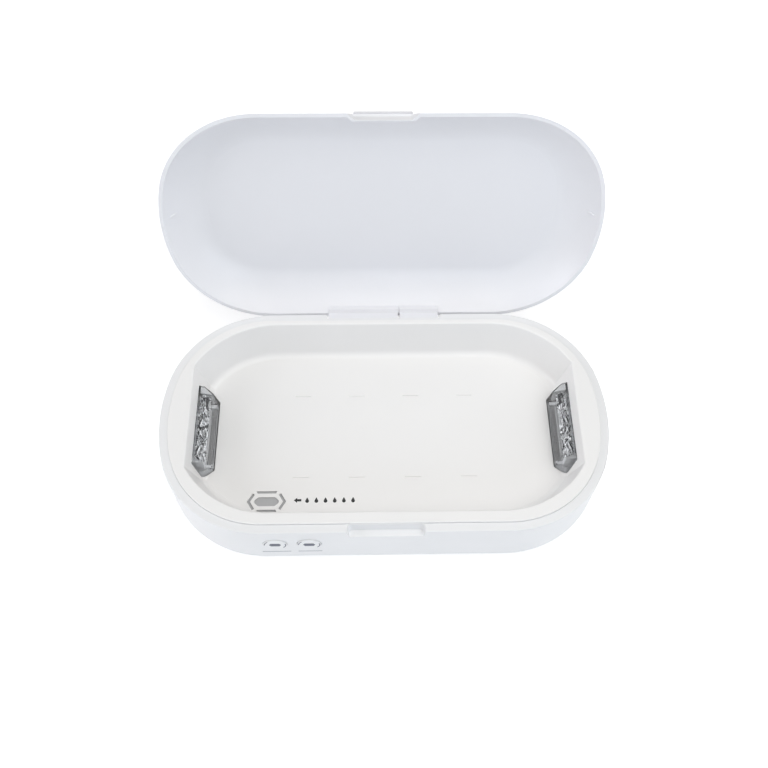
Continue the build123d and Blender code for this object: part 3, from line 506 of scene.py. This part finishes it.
class LampWindow:
    """One lamp cover: its box, the foot and the back of its sloping face, and its side of the case."""

    def __init__(self, side):
        self.side = side
        self.sign = 1 if side == "right" else -1
        self.low, self.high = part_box("uv_cover_" + side)
        self.foot = min(abs(self.low.x), abs(self.high.x))
        self.back = max(abs(self.low.x), abs(self.high.x))
        self.socket_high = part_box("uv_sockets_" + side)[1]

    def below_slope(self, x, drop):
        """The height that lies a drop below the sloping face at x."""
        return self.high.z - cover_bevel * (self.back - x) / (self.back - self.foot) - drop

    def add(self, name, form, material, slot):
        """A piece of this window, which stays with the case."""
        add_piece(name + "_" + self.side, form, material, "case")


def foil_sheet(window):
    """The creased foil, a sheet of leaning facets under the sloping face, coloured with painted shade in its
    creases and painted glints on their edges.
    """
    form = bmesh.new()
    chance = random.Random(foil_seed)
    foil_foot = window.foot + foil_foot_inset
    foil_back = window.back - foil_back_inset
    foil_half = window.high.y - foil_end_inset
    grid = []
    for row in range(foil_rows + 1):
        line = []
        for column in range(foil_columns + 1):
            across = column / foil_columns
            x = foil_foot + (foil_back - foil_foot) * across
            y = -foil_half + 2 * foil_half * row / foil_rows
            shake = 0 if column in (0, foil_columns) else 1
            y += foil_lean * (across - 0.5) * shake + chance.uniform(-foil_stray, foil_stray)
            z = window.below_slope(x, foil_drop) + shake * chance.uniform(-foil_bounce, foil_bounce)
            line.append(form.verts.new((window.sign * x, y, z)))
        grid.append(line)
    for row in range(foil_rows):
        for column in range(foil_columns):
            a, b = grid[row][column], grid[row][column + 1]
            c, d = grid[row + 1][column + 1], grid[row + 1][column]
            form.faces.new((a, b, c))
            form.faces.new((a, c, d))
    window.add("painted_light_foil", form, painted_light_foil[window.side], "reflector")


def painted_fold_blades(window, name, material, step):
    """Narrow blades along the deep folds, a step nearer to the foot, for painted shade in the folds and
    painted glints beside them.
    """
    form = bmesh.new()
    for first, y_first, last, y_last in deep_folds:
        start = Vector((window.foot + first * mm - step, y_first * mm))
        end = Vector((window.foot + last * mm - step, y_last * mm))
        middle = (start + end) / 2
        aside = (end - start).orthogonal().normalized() * fold_half
        blade = []
        for corner in (start, middle + aside, end, middle - aside):
            top = window.below_slope(corner.x, fold_drop)
            blade.append((window.sign * corner.x, corner.y, top - fold_depth, top))
        prism(form, blade)
    window.add(name, form, material, "reflector")


def end_block(window):
    """The pale block behind the rear socket, sloped like the cover."""
    form = bmesh.new()
    block_foot = window.foot + block_foot_inset
    block_back = window.back - block_back_inset
    plan = (
        (block_foot, window.socket_high.y), (block_back, window.socket_high.y),
        (block_back, window.high.y - block_end_inset),
        (block_foot + block_slant, window.high.y - block_slant_inset),
    )
    low = window.low.z + block_lift
    prism(form, [(window.sign * x, y, low, window.below_slope(x, block_drop)) for x, y in plan])
    window.add("lamp_end_block", form, cup_plastic, "socket_white")


def rear_painted_shadow(window):
    """A dark strip of painted shadow at the foot of the rear facet, wider towards the back."""
    form = bmesh.new()
    low = window.low.z + shadow_strip_lift
    high = low + shadow_strip_height
    plan = [(window.foot + across * mm, window.high.y - inset * mm) for across, inset in shadow_strip_corners]
    prism(form, [(window.sign * x, y, low, high) for x, y in plan])
    window.add("window_painted_shadow", form, component_black, "component_black")


def rear_contact(window):
    """The bent contact that reaches from the rear socket over the foil."""
    form = bmesh.new()
    low = window.socket_high.z + contact_gap
    high = low + contact_height
    edge = window.foot + contact_inset
    plan = [(edge + across * mm, y * mm) for across, y in contact_corners]
    prism(form, [(window.sign * x, y, low, high) for x, y in plan])
    window.add("lamp_contact", form, component_black, "component_black")


for side in ("left", "right"):
    window = LampWindow(side)
    foil_sheet(window)
    # Black blades of painted shade in the folds, and beside them bright blades of painted glints.
    painted_fold_blades(window, "painted_fold_blades_dark", component_black, 0)
    painted_fold_blades(window, "painted_fold_blades_bright", painted_glint_metal, fold_step)
    end_block(window)
    rear_painted_shadow(window)
    rear_contact(window)


# Small raised marks that moulding leaves

def raised(name, centre, along, outward, length, width, height, material, body):
    """A low rounded swelling on a surface."""
    steps = 10
    sink = 0.2 * mm
    merge_distance = 0.001 * mm
    across = outward.cross(along).normalized()
    form = bmesh.new()
    top = []
    bottom = []
    for i in range(steps + 1):
        u = cos(pi * i / steps)
        top.append([])
        bottom.append([])
        for j in range(steps + 1):
            v = cos(pi * j / steps) * (1 - u * u) ** 0.5 if 0 < i < steps else 0
            rise = height * max(0.0, 1 - u * u - v * v) ** 0.5
            point = centre + along * (u * length / 2) + across * (v * width / 2)
            top[-1].append(form.verts.new(point + outward * rise))
            bottom[-1].append(form.verts.new(point - outward * sink))
    for i in range(steps):
        for j in range(steps):
            for layer in (top, bottom):
                form.faces.new((layer[i][j], layer[i][j + 1], layer[i + 1][j + 1], layer[i + 1][j]))
    for i in range(steps):
        for j in (0, steps):
            form.faces.new((top[i][j], top[i + 1][j], bottom[i + 1][j], bottom[i][j]))
    bmesh.ops.remove_doubles(form, verts=form.verts, dist=merge_distance)
    piece = add_piece(name, form, material, body)
    for face in piece.data.polygons:
        face.use_smooth = True


# A low ridge inside each side of the lid, where the camera's line of sight meets the inner face.
# It runs along the direction that is up on the closed lid and leans back on the open one.
nub_x, nub_y, nub_z = 107.5 * mm, 93.6 * mm, 78.7 * mm
nub_length = 5.0 * mm
nub_width = 1.6 * mm
nub_height = 0.7 * mm
closed_lid_up = Vector((0, 0.959, -0.282))
for side, sign in (("left", -1), ("right", 1)):
    sight = (Vector((sign * nub_x, nub_y, nub_z)) - camera_place).normalized()
    point, normal = nodes["lid"].ray_cast(camera_place, sight)[1:3]
    along = (closed_lid_up - normal * closed_lid_up.dot(normal)).normalized()
    raised(
        "lid_nub_" + side, point, along, normal,
        nub_length, nub_width, nub_height, lid_white, "lid",
    )

# The round mark on the tray floor
gate_x, gate_y = -10.8 * mm, 3.6 * mm
gate_width = 1.5 * mm
gate_height = 0.12 * mm
raised(
    "gate_mark", Vector((gate_x, gate_y, tray_floor)), Vector((1, 0, 0)), Vector((0, 0, 1)),
    gate_width, gate_width, gate_height, tray_white, "case",
)


# Floor, world, lights and camera

def white_backdrop():
    """A white floor that keeps the shadow of the object."""
    half = 4.0
    lift_to_white = 0.42
    mesh = bpy.data.meshes.new("floor")
    corners = [(-half, -half), (half, -half), (half, half), (-half, half)]
    mesh.from_pydata([(x, y, foot_low.z) for x, y in corners], [], [(0, 1, 2, 3)])
    floor = bpy.data.objects.new("floor", mesh)
    scene.collection.objects.link(floor)
    material, tree, output = new_material("floor_white")
    matt = tree.nodes.new("ShaderNodeBsdfDiffuse")
    matt.inputs["Color"].default_value = (0.86, 0.86, 0.87, 1)
    glow = tree.nodes.new("ShaderNodeEmission")
    glow.inputs["Color"].default_value = (1, 1, 1, 1)
    tree.links.new(seen_directly(tree, lift_to_white), glow.inputs["Strength"])
    both = tree.nodes.new("ShaderNodeAddShader")
    tree.links.new(matt.outputs["BSDF"], both.inputs[0])
    tree.links.new(glow.outputs["Emission"], both.inputs[1])
    tree.links.new(both.outputs["Shader"], output.inputs["Surface"])
    mesh.materials.append(material)


def seen_directly(tree, strength):
    """The given strength for what the camera, a reflection or a clear piece looks at, and 0 for light."""
    path = tree.nodes.new("ShaderNodeLightPath")
    seen_or_reflected = larger(tree, path.outputs["Is Camera Ray"], path.outputs["Is Glossy Ray"])
    looked_at = larger(tree, seen_or_reflected, path.outputs["Is Transmission Ray"])
    return times(tree, looked_at, strength)


def studio_world():
    """Soft light from all sides, a little warmer near the horizon, and white where it is seen."""
    light_strength = 0.40
    even_height = 0.8
    world = bpy.data.worlds.new("studio")
    scene.world = world
    world.use_nodes = True
    tree = world.node_tree
    tree.nodes.clear()
    output = tree.nodes.new("ShaderNodeOutputWorld")
    place = tree.nodes.new("ShaderNodeTexCoord").outputs["Generated"]
    split = tree.nodes.new("ShaderNodeSeparateXYZ")
    tree.links.new(place, split.inputs["Vector"])
    height = tree.nodes.new("ShaderNodeMapRange")
    height.inputs["From Min"].default_value = 0.0
    height.inputs["From Max"].default_value = even_height
    tree.links.new(split.outputs["Z"], height.inputs["Value"])
    light = tree.nodes.new("ShaderNodeBackground")
    light.inputs["Strength"].default_value = light_strength
    tint = colour_between(tree, height.outputs["Result"], (1.0, 0.985, 0.97), (1.0, 1.0, 0.99))
    tree.links.new(tint, light.inputs["Color"])
    seen = tree.nodes.new("ShaderNodeBackground")
    seen.inputs["Color"].default_value = (1, 1, 1, 1)
    mix = tree.nodes.new("ShaderNodeMixShader")
    tree.links.new(seen_directly(tree, 1.0), mix.inputs["Fac"])
    tree.links.new(light.outputs["Background"], mix.inputs[1])
    tree.links.new(seen.outputs["Background"], mix.inputs[2])
    tree.links.new(mix.outputs["Shader"], output.inputs["Surface"])


def softbox(name, place, target, size, power, colour):
    """A large square lamp that looks at a point."""
    lamp = bpy.data.lights.new(name, "AREA")
    lamp.shape = "SQUARE"
    lamp.size = size
    lamp.energy = power
    lamp.color = colour
    box = bpy.data.objects.new(name, lamp)
    box.location = place
    box.rotation_euler = (Vector(target) - Vector(place)).to_track_quat("-Z", "Y").to_euler()
    scene.collection.objects.link(box)


def place_camera():
    """The camera of the photograph: its angles, its place and its frame."""
    elevation = radians(58.878)
    heading = radians(2.278)
    roll = radians(1.484)
    image_side = 768
    focal_pixels = 931.677
    centre = (389.66, 354.05)
    forward = Vector((sin(heading) * cos(elevation), cos(heading) * cos(elevation), -sin(elevation)))
    level = Vector((cos(heading), -sin(heading), 0))
    upright = level.cross(forward)
    right = cos(roll) * level + sin(roll) * upright
    up = cos(roll) * upright - sin(roll) * level
    data = bpy.data.cameras.new("camera")
    data.sensor_width = 36
    data.lens = focal_pixels / image_side * data.sensor_width
    data.shift_x = (image_side / 2 - centre[0]) / image_side
    data.shift_y = (centre[1] - image_side / 2) / image_side
    data.clip_start = 0.01
    camera = bpy.data.objects.new("camera", data)
    turn = Matrix((right, up, -forward)).transposed().to_4x4()
    camera.matrix_world = Matrix.Translation(camera_place) @ turn
    scene.collection.objects.link(camera)
    scene.camera = camera


white_backdrop()
studio_world()
softbox("top_box", (0.36, -0.15, 1.2), (0, 0, 0), size=1.2, power=8.5, colour=(1.0, 1.0, 0.97))
softbox("front_box", (0.62, -1.15, 0.45), (0, 0.05, 0.05), size=1.0, power=4.6, colour=(0.72, 0.85, 1.0))
softbox("left_box", (-1.2, -0.15, 0.5), (0, 0.05, 0.05), size=0.9, power=6.6, colour=(0.94, 0.96, 1.0))
place_camera()
